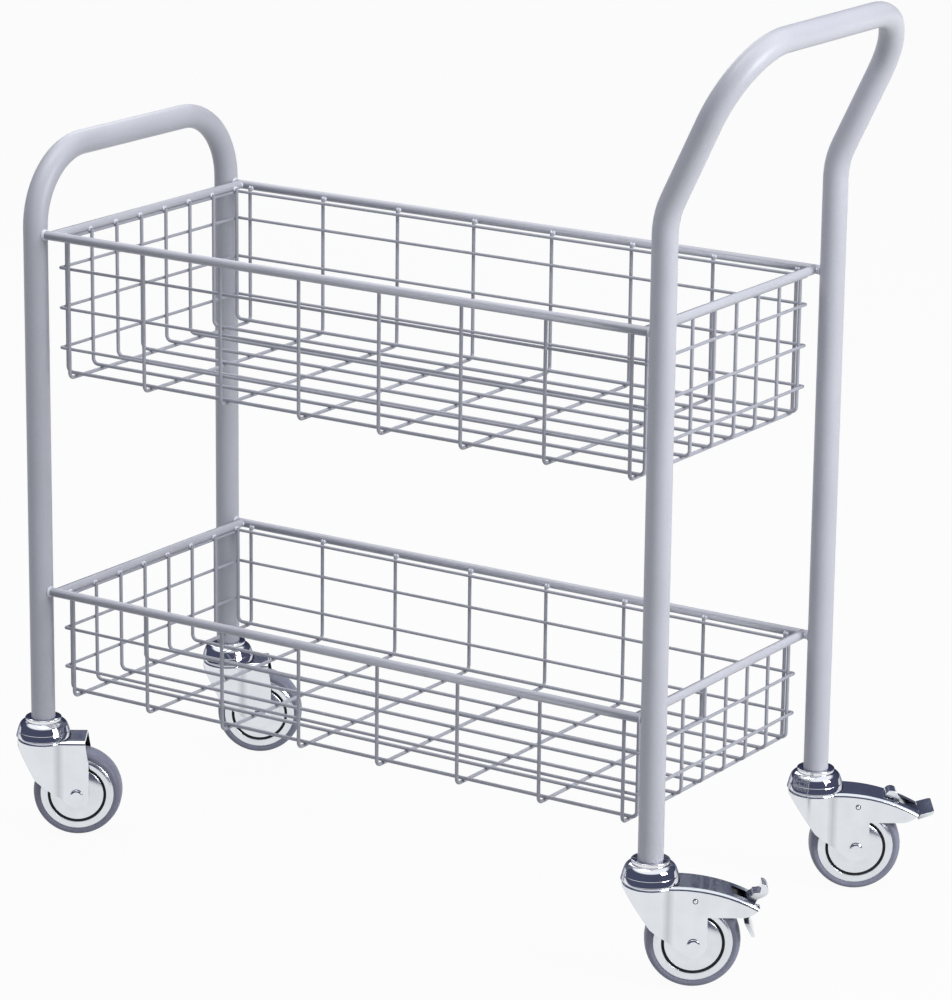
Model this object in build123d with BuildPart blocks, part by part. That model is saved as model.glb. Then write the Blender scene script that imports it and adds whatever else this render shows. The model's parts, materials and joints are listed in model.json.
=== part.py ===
from build123d import *
import math
import os

# Mail sorting trolley: two bent-tube hoops joined by welded rails, two baskets of welded wire and
# four swivel castors, the rear pair with rocker brake pedals.
# Millimetres, +Z up, +X towards the handle end, -Y on the pusher's left. The origin is on the
# floor, midway between the four legs.

# Frame tubes
wheelbase = 800.0
track = 350.0
tube_diameter = 27.0
tube_wall = 1.5
tube_bend_radius = 83.0
front_bar_height = 782.0
handle_height = 986.5
handle_overhang = 83.0
handle_bend_height = 813.0

# Rails that the baskets hang from
rail_diameter = 10.0
upper_rail_height = 693.0
lower_rail_height = 286.0
end_rail_gap = 3.0

# Basket wires
wire_diameter = 4.0
loop_diameter = 3.5
wire_top_drop = 1.0
weld_gap = 0.1
wire_margin = 11.0
cross_wire_count = 8
long_wire_count = 8
upper_basket_depth = 159.0
lower_basket_depth = 120.0
loop_floor_gap = 32.0
loop_pitch = 45.0
upper_loop_count = 3
lower_loop_count = 2

# Fits
fit_gap = 0.05
swivel_gap = 0.4
seat_gap = 0.1

# Castor stems, caps and swivel bearings
stem_diameter = 12.0
stem_head_size = 19.0
stem_head_height = 5.0
insert_length = 40.0
cap_diameter = 59.0
cap_height = 22.6
cap_lip_reach = 1.5
cap_lip_height = 6.5
cap_wall = 1.5
cap_top_thickness = 3.0
cap_shoulder_height = 11.0
collar_diameter = 41.0
collar_height = 3.2
bearing_diameter = 24.0
race_side_gap = 3.0
race_height = 4.0
lower_race_diameter = 34.0

# Castor wheels
wheel_diameter = 100.0
tyre_thickness = 8.5
tyre_width = 32.0
tread_width = 13.0
tyre_shoulder_drop = 5.0
tyre_shoulder_width = 26.0
rim_width = 34.0
rim_edge_width = 30.0
rim_chamfer = 3.5
rim_face_width = 5.0
cover_thickness = 1.5
cover_dome = 3.6
cover_flat_diameter = 26.0
cover_groove = 2.8
cover_recess = 2.2
cover_gap = 0.5
hub_bearing_diameter = 24.0
axle_diameter = 12.0
axle_neck_diameter = 9.0
axle_head_diameter = 14.6
axle_head_height = 3.0

# Castor forks
sheet = 2.5
crown_clearance = 11.5
cheek_gap = 1.1
fork_bend_radius = 4.5
swivel_head_diameter = 60.0
crease_radius = 5.0
plain_trail = 38.0
brake_trail = 45.0
axle_lobe_radius = 14.0
knee_ahead = 46.0
knee_rise = 19.0
plain_lip_drop = 7.0
brake_lip_drop = 4.0
crown_behind_axle = 10.0
cheek_back_rise = 38.0
castor_turn = 33.5

# Brake arms, pedals and shoes
arm_start = 25.0
arm_tip = 113.0
arm_tip_drop = 23.0
arm_tip_cut = 20.0
arm_bottom_drop = 33.0
slot_length = 28.5
slot_width = 22.0
pedal_pivot_back = 14.0
pedal_pivot_drop = 25.5
pedal_pin_diameter = 5.0
pedal_hub_radius = 6.5
pedal_side_gap = 1.0
pedal_throw = 83.0
lever_reach = 23.4
lever_angle = 131.5
lever_tip_radius = 7.5
throat_reach = 14.5
throat_radius = 3.5
lever_gap = 1.0
pad_gap = 0.8
pad_slant = 2.0
pad_length = 15.8
pad_width = 46.0
pad_bottom = -3.5
pad_top = 1.8
pad_lip = 3.5
pad_rise = 4.5
shoe_pivot_ahead = 1.0
shoe_pivot_drop = 15.0
shoe_rivet_diameter = 4.0
rivet_head_diameter = 6.0
rivet_head_height = 1.2
ear_thickness = 2.0
ear_gap = 0.3
ear_radius = 5.0
shoe_gap = 0.4
shoe_thickness = 4.0
shoe_start = 42.0
shoe_end = 62.0
shoe_lift = 5.0

# Places worked out from the sizes above
leg_x = wheelbase / 2
leg_y = track / 2
tube_radius = tube_diameter / 2
rail_radius = rail_diameter / 2
wire_radius = wire_diameter / 2
loop_radius = loop_diameter / 2
end_rail_x = leg_x - tube_radius - end_rail_gap - rail_radius
cross_wire_y = leg_y - rail_radius - weld_gap - wire_radius
long_wire_x = end_rail_x - rail_radius - weld_gap - wire_radius
loop_y = cross_wire_y - wire_radius - weld_gap - loop_radius
loop_x = long_wire_x + wire_radius + weld_gap + loop_radius
top_loop_drop = math.sqrt((rail_radius + weld_gap + loop_radius) ** 2 - (end_rail_x - loop_x) ** 2)
rim_diameter = wheel_diameter - 2 * tyre_thickness
rim_flat_diameter = rim_diameter - 2 * rim_chamfer
cover_diameter = rim_flat_diameter - 2 * rim_face_width - 2 * cover_groove
cover_face = rim_width / 2 - cover_recess
cover_edge = cover_face + cover_gap + cover_thickness
cover_crown = cover_edge + cover_dome
fork_inner_width = 2 * (cover_crown + cheek_gap)
fork_width = fork_inner_width + 2 * sheet
axle_height = wheel_diameter / 2
crown_height = wheel_diameter + crown_clearance + sheet
cap_bottom = crown_height + swivel_gap
castor_height = cap_bottom + cap_height
cap_underside = castor_height - cap_top_thickness
cap_lip_diameter = cap_diameter + 2 * cap_lip_reach
race_diameter = cap_diameter - 2 * cap_wall - 2 * race_side_gap
lower_race_top = crown_height - sheet - swivel_gap
stem_head_top = lower_race_top - race_height
knee_height = axle_height + knee_rise
cheek_back_height = axle_height + cheek_back_rise
arm_tip_height = crown_height - arm_tip_drop
arm_bottom_height = crown_height - arm_bottom_drop
slot_start = arm_tip - slot_length
pedal_pivot = arm_tip - pedal_pivot_back
pedal_pivot_height = crown_height - pedal_pivot_drop
shoe_pivot = brake_trail + shoe_pivot_ahead
shoe_pivot_height = crown_height - shoe_pivot_drop

FRONT, REAR = -1, 1
LEFT, RIGHT = -1, 1

os.makedirs("parts", exist_ok=True)


def save(part, name):
    """Label one finished piece and write its file."""
    part.label = name
    export_step(part, f"parts/{name}.step")


def at_legs(piece):
    """Four copies of a piece, one on each leg's axis."""
    with BuildPart() as group:
        with GridLocations(wheelbase, track, 2, 2):
            add(piece.part)
    return group


# The two hoops of bent tube


def bent_tube(points):
    """A tube bent to the one radius at every inner point of its axis."""
    with BuildPart() as tube:
        with BuildLine() as axis:
            FilletPolyline(points, radius=tube_bend_radius)
        with BuildSketch(Plane(origin=axis.line @ 0, z_dir=axis.line % 0)):
            Circle(tube_radius)
            Circle(tube_radius - tube_wall, mode=Mode.SUBTRACT)
        sweep()
    return tube


front_hoop = bent_tube([
    (-leg_x, -leg_y, castor_height),
    (-leg_x, -leg_y, front_bar_height),
    (-leg_x, leg_y, front_bar_height),
    (-leg_x, leg_y, castor_height),
])
save(front_hoop.part, "front_hoop")

handle_x = leg_x + handle_overhang
handle_hoop = bent_tube([
    (leg_x, -leg_y, castor_height),
    (leg_x, -leg_y, handle_bend_height),
    (handle_x, -leg_y, handle_height),
    (handle_x, leg_y, handle_height),
    (leg_x, leg_y, handle_bend_height),
    (leg_x, leg_y, castor_height),
])
save(handle_hoop.part, "handle_hoop")


# The rails: long ones butt on the legs, end ones butt on the long ones


def side_rail(side, height):
    """A round bar between the front and rear leg, its ends coped to the tubes."""
    with BuildPart() as rail:
        with BuildSketch(Plane.YZ.offset(-leg_x)):
            with Locations((side * leg_y, height)):
                Circle(rail_radius)
        extrude(amount=wheelbase)
        with Locations((-leg_x, side * leg_y, height), (leg_x, side * leg_y, height)):
            Cylinder(tube_radius, 2 * rail_diameter, mode=Mode.SUBTRACT)
    return rail


def end_rail(end, height):
    """A round bar across the trolley, its ends coped to the two long rails."""
    with BuildPart() as rail:
        with BuildSketch(Plane.XZ.offset(-leg_y)):
            with Locations((end * end_rail_x, height)):
                Circle(rail_radius)
        extrude(amount=track)
        with Locations((end * end_rail_x, -leg_y, height), (end * end_rail_x, leg_y, height)):
            Cylinder(rail_radius, 2 * rail_diameter, rotation=(0, 90, 0), mode=Mode.SUBTRACT)
    return rail


for level, height in (("upper", upper_rail_height), ("lower", lower_rail_height)):
    save(side_rail(LEFT, height).part, f"{level}_left_rail")
    save(side_rail(RIGHT, height).part, f"{level}_right_rail")
    save(end_rail(FRONT, height).part, f"{level}_front_rail")
    save(end_rail(REAR, height).part, f"{level}_rear_rail")


# The baskets: cross wires, long wires laid on them, and loops welded round the walls


def wire_along(points, radius):
    """One round wire along a line of points, its small bends drawn as mitres."""
    with BuildPart() as wire:
        with BuildLine() as axis:
            Polyline(*points)
        with BuildSketch(Plane(origin=axis.line @ 0, z_dir=axis.line % 0)):
            Circle(radius)
        sweep(transition=Transition.RIGHT)
    return wire


def cross_wires(rail_height, depth):
    """The wires that hang from one long rail, run across the floor and rise to the other."""
    top = rail_height - wire_top_drop
    bottom = rail_height - depth
    one = wire_along([
        (0, -cross_wire_y, top),
        (0, -cross_wire_y, bottom),
        (0, cross_wire_y, bottom),
        (0, cross_wire_y, top),
    ], wire_radius)
    pitch = 2 * (long_wire_x - wire_margin) / (cross_wire_count - 1)
    with BuildPart() as wires:
        with GridLocations(pitch, pitch, cross_wire_count, 1):
            add(one.part)
    return wires


def long_wires(rail_height, depth):
    """The wires that hang from one end rail and run the length of the floor to the other."""
    top = rail_height - wire_top_drop
    bottom = rail_height - depth + wire_diameter + weld_gap
    one = wire_along([
        (-long_wire_x, 0, top),
        (-long_wire_x, 0, bottom),
        (long_wire_x, 0, bottom),
        (long_wire_x, 0, top),
    ], wire_radius)
    pitch = 2 * (cross_wire_y - wire_margin) / (long_wire_count - 1)
    with BuildPart() as wires:
        with GridLocations(pitch, pitch, 1, long_wire_count):
            add(one.part)
    return wires


def loop_wires(rail_height, depth, count):
    """Closed rectangles of thinner wire: one laid under the end rails, the rest evenly up the walls."""
    lowest = rail_height - depth + loop_floor_gap
    heights = [rail_height - top_loop_drop] + [lowest + k * loop_pitch for k in range(count)]
    one = wire_along([
        (0, -loop_y),
        (loop_x, -loop_y),
        (loop_x, loop_y),
        (-loop_x, loop_y),
        (-loop_x, -loop_y),
        (0, -loop_y),
    ], loop_radius)
    with BuildPart() as loops:
        with Locations([(0, 0, height) for height in heights]):
            add(one.part)
    return loops


for level, height, depth, loop_count in (
    ("upper", upper_rail_height, upper_basket_depth, upper_loop_count),
    ("lower", lower_rail_height, lower_basket_depth, lower_loop_count),
):
    save(cross_wires(height, depth).part, f"{level}_cross_wires")
    save(long_wires(height, depth).part, f"{level}_long_wires")
    save(loop_wires(height, depth, loop_count).part, f"{level}_loop_wires")


# What holds the castors: plugs in the legs, stems, swivel bearings and caps

insert_diameter = tube_diameter - 2 * tube_wall - 2 * fit_gap
with BuildPart() as leg_insert:
    with BuildSketch(Plane.XY.offset(castor_height)):
        Circle(insert_diameter / 2)
        Circle(stem_diameter / 2 + fit_gap, mode=Mode.SUBTRACT)
    extrude(amount=insert_length)
save(at_legs(leg_insert).part, "leg_inserts")

with BuildPart() as castor_stem:
    with BuildSketch(Plane.XY.offset(stem_head_top - stem_head_height)):
        RegularPolygon(stem_head_size / 2, 6, major_radius=False)
    extrude(amount=stem_head_height)
    with BuildSketch(Plane.XY.offset(stem_head_top)):
        Circle(stem_diameter / 2)
    extrude(amount=castor_height + insert_length - stem_head_top)
save(at_legs(castor_stem).part, "castor_stems")

with BuildPart() as swivel_bearing:
    with BuildSketch(Plane.XY.offset(stem_head_top)):
        Circle(lower_race_diameter / 2)
    extrude(amount=race_height)
    with BuildSketch(Plane.XY.offset(stem_head_top)):
        Circle(bearing_diameter / 2)
    extrude(amount=cap_underside - stem_head_top)
    with BuildSketch(Plane.XY.offset(crown_height + swivel_gap)):
        Circle(race_diameter / 2)
    extrude(amount=race_height)
    with Locations((0, 0, crown_height)):
        Cylinder(stem_diameter / 2 + fit_gap, castor_height, mode=Mode.SUBTRACT)
save(at_legs(swivel_bearing).part, "swivel_bearings")

with BuildPart() as castor_cap:
    bore = stem_diameter / 2 + fit_gap
    shoulder_top = castor_height - collar_height
    shoulder_low = shoulder_top - cap_shoulder_height
    lip_top = cap_bottom + cap_lip_height
    with BuildSketch(Plane.XZ):
        with BuildLine():
            Polyline((bore, cap_underside), (bore, castor_height), (collar_diameter / 2, castor_height),
                     (collar_diameter / 2, shoulder_top))
            TangentArc((cap_diameter / 2, shoulder_low), (collar_diameter / 2, shoulder_top), tangent=(0, 1))
            Polyline((cap_diameter / 2, shoulder_low), (cap_diameter / 2, lip_top),
                     (cap_lip_diameter / 2, lip_top), (cap_lip_diameter / 2, cap_bottom),
                     (cap_diameter / 2 - cap_wall, cap_bottom), (cap_diameter / 2 - cap_wall, shoulder_low),
                     (collar_diameter / 2 - cap_wall, cap_underside), (bore, cap_underside))
        make_face()
    revolve(axis=Axis.Z)
save(at_legs(castor_cap).part, "castor_caps")


# The wheel, about its own axle along Y


def turned(half_outline):
    """A ring turned about the axle, from half an outline of (radius, distance from mid-plane)."""
    mirrored = [(radius, -y) for radius, y in reversed(half_outline)]
    with BuildPart() as ring:
        with BuildSketch(Plane.XY):
            Polygon(*half_outline, *mirrored, align=None)
        revolve(axis=Axis.Y)
    return ring


tyre = turned([
    (rim_diameter / 2 + fit_gap, rim_edge_width / 2),
    (wheel_diameter / 2 - tyre_shoulder_drop, tyre_width / 2),
    (wheel_diameter / 2 - tyre_shoulder_drop / 4, tyre_shoulder_width / 2),
    (wheel_diameter / 2, tread_width / 2),
])

rim = turned([
    (hub_bearing_diameter / 2 + fit_gap, cover_face),
    (cover_diameter / 2 + cover_groove, cover_face),
    (cover_diameter / 2 + cover_groove, rim_width / 2),
    (rim_flat_diameter / 2, rim_width / 2),
    (rim_diameter / 2, rim_edge_width / 2),
])

hub_bearing = turned([
    (axle_diameter / 2 + fit_gap, cover_face),
    (hub_bearing_diameter / 2, cover_face),
])

axle = turned([
    (0, fork_width / 2 + axle_head_height),
    (axle_head_diameter / 2 - axle_head_height / 2, fork_width / 2 + axle_head_height),
    (axle_head_diameter / 2, fork_width / 2 + axle_head_height / 2),
    (axle_head_diameter / 2, fork_width / 2),
    (axle_neck_diameter / 2, fork_width / 2),
    (axle_neck_diameter / 2, fork_inner_width / 2 - seat_gap),
    (axle_diameter / 2, fork_inner_width / 2 - seat_gap),
])

cover_bore = axle_diameter / 2 + fit_gap
with BuildPart() as dust_covers:
    with BuildSketch(Plane.XY):
        Polygon((cover_bore, cover_crown - cover_thickness), (cover_bore, cover_crown),
                (cover_flat_diameter / 2, cover_crown), (cover_diameter / 2, cover_edge),
                (cover_diameter / 2, cover_edge - cover_thickness),
                (cover_flat_diameter / 2, cover_crown - cover_thickness), align=None)
    revolve(axis=Axis.Y)
    mirror(about=Plane.XZ)


# The pressed forks, with the swivel axis on Z and the wheel trailing along +X

head_edge = -swivel_head_diameter / 2 - seat_gap


def cheek_outline(trail, lip_drop, back_edge):
    """The side view of a fork: a lobe round the axle that opens out to the swivel head."""
    with BuildSketch(Plane.XZ) as outline:
        with BuildLine():
            CenterArc((trail, axle_height), axle_lobe_radius, 0, 360)
            Polyline((trail - knee_ahead, knee_height), (head_edge, crown_height - lip_drop),
                     (head_edge, crown_height), *back_edge)
        make_hull()
    return outline.sketch


def crown_hollow(end):
    """The side view of the space under the flat crown, down to the floor."""
    with BuildSketch(Plane.XZ) as outline:
        with BuildLine():
            Polyline((head_edge, 0), (head_edge, crown_height - sheet), (end, crown_height - sheet), (end, 0),
                     close=True)
        make_face()
    return outline.sketch


def arm_outline(bottom, inset):
    """The side view of a brake arm, or of the space under it: an arched top that falls to a beak."""
    top = crown_height - inset
    tip = arm_tip_height - inset
    with BuildSketch(Plane.XZ) as outline:
        with BuildLine():
            TangentArc((arm_start, top), (arm_tip, tip), tangent=(1, 0))
            TangentArc((arm_tip - arm_tip_cut, bottom), (arm_tip, tip), tangent=(1, 0))
            Polyline((arm_tip - arm_tip_cut, bottom), (arm_start, bottom), (arm_start, top))
        make_face()
    return outline.sketch


def side_prism(outlines):
    """Side views drawn out past both cheeks."""
    with BuildPart() as prism:
        for outline in outlines:
            extrude(outline, amount=swivel_head_diameter, both=True)
    return prism


def fork_form(outlines, inset):
    """The outside of a fork, or its hollow: a round head and flat cheeks, cut to the side views."""
    reach = arm_tip + axle_lobe_radius
    with BuildPart() as form:
        with BuildSketch() as plan:
            Circle(swivel_head_diameter / 2 - inset)
            with Locations((reach / 2, 0)):
                Rectangle(reach, fork_width - 2 * inset)
            fillet(plan.vertices().sort_by(Axis.X)[:2], crease_radius + inset)
        extrude(amount=crown_height - inset)
        add(side_prism(outlines).part, mode=Mode.INTERSECT)
    return form


def fork(trail, outlines, hollow_outlines):
    """A fork of bent sheet, open below, with holes for the swivel bearing and the axle."""
    with BuildPart() as pressed:
        add(fork_form(outlines, 0).part)
        tops = pressed.faces().filter_by(lambda face: face.normal_at().Z > 0.5)
        fillet(tops.edges() - tops.edges().filter_by(Axis.Y), fork_bend_radius)
        add(fork_form(hollow_outlines, sheet).part, mode=Mode.SUBTRACT)
        with Locations((0, 0, crown_height)):
            Cylinder(bearing_diameter / 2 + fit_gap, 4 * sheet, mode=Mode.SUBTRACT)
        with Locations((trail, 0, axle_height)):
            Cylinder(axle_neck_diameter / 2 + fit_gap, 2 * fork_width, rotation=(90, 0, 0),
                     mode=Mode.SUBTRACT)
    return pressed


plain_back = [
    (plain_trail + crown_behind_axle, crown_height),
    (plain_trail + axle_lobe_radius, cheek_back_height),
]
plain_cheek = cheek_outline(plain_trail, plain_lip_drop, plain_back)
plain_fork = fork(plain_trail, [plain_cheek], [crown_hollow(plain_trail + wheel_diameter)])

brake_back = [(arm_start, crown_height), (brake_trail + axle_lobe_radius, arm_bottom_height)]
brake_cheek = cheek_outline(brake_trail, brake_lip_drop, brake_back)
arm = arm_outline(arm_bottom_height, 0)
arm_hollow = arm_outline(0, sheet)
bare_brake_fork = fork(brake_trail, [brake_cheek, arm], [crown_hollow(arm_start), arm_hollow])

with BuildPart() as brake_fork:
    add(bare_brake_fork.part)
    with BuildSketch(Plane.XY.offset(arm_bottom_height)):
        with Locations(((slot_start + arm_tip) / 2 + slot_width, 0)):
            Rectangle(arm_tip - slot_start + 2 * slot_width, slot_width)
    extrude(amount=crown_height, mode=Mode.SUBTRACT)
    with Locations((pedal_pivot, 0, pedal_pivot_height)):
        Cylinder(pedal_pin_diameter / 2 + fit_gap, 2 * fork_width, rotation=(90, 0, 0), mode=Mode.SUBTRACT)
    with Locations((shoe_pivot, 0, shoe_pivot_height)):
        Cylinder(shoe_rivet_diameter / 2 + fit_gap, 2 * fork_width, rotation=(90, 0, 0), mode=Mode.SUBTRACT)


# The brake: a rocker pedal about its own pin, and a shoe about its own rivets, pressed on the tyre

pedal_thickness = slot_width - 2 * pedal_side_gap
arm_arch_radius = ((arm_tip - arm_start) ** 2 + arm_tip_drop ** 2) / (2 * arm_tip_drop)
pad_start = arm_tip + pad_gap - pedal_pivot
pad_end = pad_start + pad_length
pad_inner_face = [(pad_start - pad_slant, pad_bottom), (pad_start, pad_top)]


def along_lever(reach):
    """A point on the lever's middle line, from the pedal's pin."""
    return (reach * math.cos(math.radians(lever_angle)), reach * math.sin(math.radians(lever_angle)))


with BuildSketch(Plane.XZ) as arm_relief:
    with Locations((arm_start - pedal_pivot, crown_height - arm_arch_radius - pedal_pivot_height)):
        Circle(arm_arch_radius + lever_gap)
    with Locations((slot_start + lever_gap - pedal_pivot, 0)):
        Rectangle(arm_arch_radius, 2 * crown_height, align=(Align.MAX, Align.CENTER), mode=Mode.INTERSECT)

with BuildPart() as pedal:
    with BuildSketch(Plane.XZ):
        with BuildLine() as head:
            CenterArc(along_lever(lever_reach), lever_tip_radius, 0, 360)
            CenterArc(along_lever(throat_reach), throat_radius, 0, 360)
        make_hull(head.edges())
        with BuildLine() as throat:
            CenterArc(along_lever(throat_reach), throat_radius, 0, 360)
            CenterArc((0, 0), pedal_hub_radius, 0, 360)
        make_hull(throat.edges())
        add(arm_relief.sketch_local, mode=Mode.SUBTRACT)
        with BuildLine() as neck:
            CenterArc((0, 0), pedal_hub_radius, 0, 360)
            Line(*pad_inner_face)
        make_hull(neck.edges())
    extrude(amount=pedal_thickness / 2, both=True)
    with BuildSketch(Plane.XZ):
        with BuildLine():
            Polyline(*pad_inner_face, (pad_end, pad_top + pad_rise), (pad_end, pad_top + pad_rise - pad_lip),
                     close=True)
        make_face()
    extrude(amount=pad_width / 2, both=True)
    Cylinder(pedal_pin_diameter / 2 + fit_gap, 2 * pedal_thickness, rotation=(90, 0, 0), mode=Mode.SUBTRACT)

with BuildPart() as pedal_pin:
    Cylinder(pedal_pin_diameter / 2, fork_width, rotation=(90, 0, 0))

ear_outer = fork_inner_width / 2 - ear_gap
ear_inner = ear_outer - ear_thickness
wheel_from_shoe = (brake_trail - shoe_pivot, axle_height - shoe_pivot_height)
shoe_radius = wheel_diameter / 2 + shoe_gap
shoe_middle = math.radians((shoe_start + shoe_end) / 2)
shoe_centre = (wheel_from_shoe[0] + (shoe_radius + shoe_thickness / 2) * math.cos(shoe_middle),
               wheel_from_shoe[1] + (shoe_radius + shoe_thickness / 2) * math.sin(shoe_middle))
with BuildPart() as brake_shoe:
    with BuildSketch(Plane.XZ):
        with BuildLine():
            CenterArc((0, 0), ear_radius, 0, 360)
            CenterArc(shoe_centre, ear_radius, 0, 360)
        make_hull()
    extrude(amount=ear_outer, both=True)
    Box(wheel_diameter, 2 * ear_inner, wheel_diameter, mode=Mode.SUBTRACT)
    with BuildSketch(Plane.XZ):
        with BuildLine():
            face = CenterArc(wheel_from_shoe, shoe_radius, shoe_start, shoe_end - shoe_start)
            back = CenterArc(wheel_from_shoe, shoe_radius + shoe_thickness, shoe_start, shoe_end - shoe_start)
            Line(face @ 0, back @ 0)
            Line(face @ 1, back @ 1)
        make_face()
    extrude(amount=ear_outer, both=True)
    Cylinder(shoe_rivet_diameter / 2 + fit_gap, 2 * fork_width, rotation=(90, 0, 0), mode=Mode.SUBTRACT)

with BuildPart() as shoe_rivets:
    with BuildSketch(Plane.XZ.offset(-fork_width / 2)):
        Circle(rivet_head_diameter / 2)
    extrude(amount=-rivet_head_height)
    with BuildSketch(Plane.XZ.offset(-fork_width / 2)):
        Circle(shoe_rivet_diameter / 2)
    extrude(amount=fork_width / 2 - ear_inner)
    mirror(about=Plane.XZ)


# The castors in place, turned as they stand: plain ones in front, braked ones behind


def save_placed(piece, place, name):
    """Write a copy of a piece moved to its place on the trolley."""
    with BuildPart() as placed:
        with Locations(place):
            add(piece.part)
    save(placed.part, name)


def castor(name, end, side, trail, fork_piece):
    """One castor's fork and wheel. Returns the castor's own place."""
    place = Location((end * leg_x, side * leg_y, 0), (0, 0, castor_turn))
    wheel_place = place * Location((trail, 0, axle_height))
    save_placed(fork_piece, place, f"{name}_fork")
    save_placed(axle, wheel_place, f"{name}_axle")
    save_placed(dust_covers, wheel_place, f"{name}_dust_covers")
    save_placed(hub_bearing, wheel_place, f"{name}_hub_bearing")
    save_placed(rim, wheel_place, f"{name}_rim")
    save_placed(tyre, wheel_place, f"{name}_tyre")
    return place


def brake(name, place, pressed):
    """One castor's brake, with its pedal pressed down or standing ready."""
    pedal_turn = pedal_throw if pressed else 0
    shoe_turn = 0 if pressed else -shoe_lift
    pedal_place = place * Location((pedal_pivot, 0, pedal_pivot_height), (0, pedal_turn, 0))
    shoe_place = place * Location((shoe_pivot, 0, shoe_pivot_height), (0, shoe_turn, 0))
    save_placed(pedal, pedal_place, f"{name}_brake_pedal")
    save_placed(pedal_pin, pedal_place, f"{name}_pedal_pin")
    save_placed(brake_shoe, shoe_place, f"{name}_brake_shoe")
    save_placed(shoe_rivets, shoe_place, f"{name}_shoe_rivets")


for side_name, side in (("left", LEFT), ("right", RIGHT)):
    castor(f"front_{side_name}", FRONT, side, plain_trail, plain_fork)
    rear_place = castor(f"rear_{side_name}", REAR, side, brake_trail, brake_fork)
    brake(f"rear_{side_name}", rear_place, pressed=side == LEFT)
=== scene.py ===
"""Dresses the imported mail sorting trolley: painted tubes and wire, plated castors and a studio stage."""

import json
import math

import bmesh
import bpy
from bpy.props import FloatProperty, FloatVectorProperty, IntProperty, PointerProperty
from mathutils import Matrix, Vector


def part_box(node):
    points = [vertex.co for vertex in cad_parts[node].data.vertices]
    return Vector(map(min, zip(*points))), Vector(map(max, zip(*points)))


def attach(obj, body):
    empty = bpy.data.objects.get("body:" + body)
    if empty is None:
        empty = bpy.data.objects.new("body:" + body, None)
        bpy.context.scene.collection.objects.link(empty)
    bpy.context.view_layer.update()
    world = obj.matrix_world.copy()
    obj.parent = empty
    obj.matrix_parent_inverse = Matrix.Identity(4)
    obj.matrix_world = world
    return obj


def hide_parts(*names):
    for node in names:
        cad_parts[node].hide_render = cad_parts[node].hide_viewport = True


bl_info = {
    "name": "Mail Sorting Trolley",
    "version": (1, 0, 0),
    "blender": (4, 5, 0),
    "location": "3D View > Sidebar > Trolley",
    "description": "Dresses the trolley's tubes, baskets, castors and brakes, and sets a plain studio",
    "category": "Object",
}

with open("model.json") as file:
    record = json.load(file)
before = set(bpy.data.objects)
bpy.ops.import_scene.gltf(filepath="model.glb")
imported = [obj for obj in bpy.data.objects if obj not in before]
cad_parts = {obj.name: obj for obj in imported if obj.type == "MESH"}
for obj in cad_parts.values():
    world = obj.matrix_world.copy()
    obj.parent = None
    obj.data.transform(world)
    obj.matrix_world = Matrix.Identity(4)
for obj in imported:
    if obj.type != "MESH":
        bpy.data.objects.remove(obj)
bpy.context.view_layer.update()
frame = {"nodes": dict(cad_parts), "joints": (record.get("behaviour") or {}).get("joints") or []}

joints = {joint["name"]: joint for joint in frame["joints"]}
finish = {}

CORNERS = ("front_left", "front_right", "rear_left", "rear_right")
BRAKED = ("rear_left", "rear_right")
LEVELS = ("upper", "lower")

# Meshing: lengths in metres, angles in degrees
JOIN = 5e-6
FLAT_ANGLE = 0.2
SMOOTH_ANGLE = 38
SHARP_ANGLE = 40
BEND_STEPS = 6
SMALL_ROUNDING = 0.002
SMALL_ROUNDING_STEPS = 3
LARGE_ROUNDING_STEPS = 10
WHEEL_STEPS = 128
OTHER_SIDE = Matrix.Rotation(math.pi, 4, "X")

# Places of a Mix node's colour sockets
MIX_A, MIX_B, MIX_RESULT = 6, 7, 2


def joint_axis(name):
    """The point and the direction that a joint turns about, at rest."""
    return Vector(joints[name]["pos_m"]), Vector(joints[name]["axis"])


def joint_place(name):
    """The place of a shape that was turned about Z, set on a joint's axis."""
    point, axis = joint_axis(name)
    return Matrix.Translation(point) @ axis.to_track_quat("Z", "X").to_matrix().to_4x4()


# Where the rear right leg stands: the other three mirror it
LEG, _ = joint_axis("rear_right_swivel")


class TrolleyFinish(bpy.types.PropertyGroup):
    """Colours of the trolley's finishes."""

    paint: FloatVectorProperty(
        name="Paint", description="Silver-grey powder coat of the tubes and rails",
        subtype="COLOR", min=0, max=1, default=(0.445, 0.455, 0.50))
    # Painted shade: the tube paint made darker for the thin wires, whose dark edges make them look darker
    wire: FloatVectorProperty(
        name="Wire paint", description="The same coat, thinner and darker, on the basket wires",
        subtype="COLOR", min=0, max=1, default=(0.345, 0.355, 0.40))
    zinc: FloatVectorProperty(
        name="Zinc", description="Bright zinc plate of the forks, covers and pedals",
        subtype="COLOR", min=0, max=1, default=(0.75, 0.78, 0.82))
    chrome: FloatVectorProperty(
        name="Chrome", description="Polished plate of the castor caps",
        subtype="COLOR", min=0, max=1, default=(0.80, 0.81, 0.84))
    rubber: FloatVectorProperty(
        name="Rubber", description="Grey rubber of the tyres",
        subtype="COLOR", min=0, max=1, default=(0.215, 0.223, 0.29))
    # Painted shade: near black for the groove round each dust cover and the ring round each rivet
    shadow: FloatVectorProperty(
        name="Groove", description="Dark packing in the groove round each dust cover",
        subtype="COLOR", min=0, max=1, default=(0.006, 0.006, 0.007))


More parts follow.
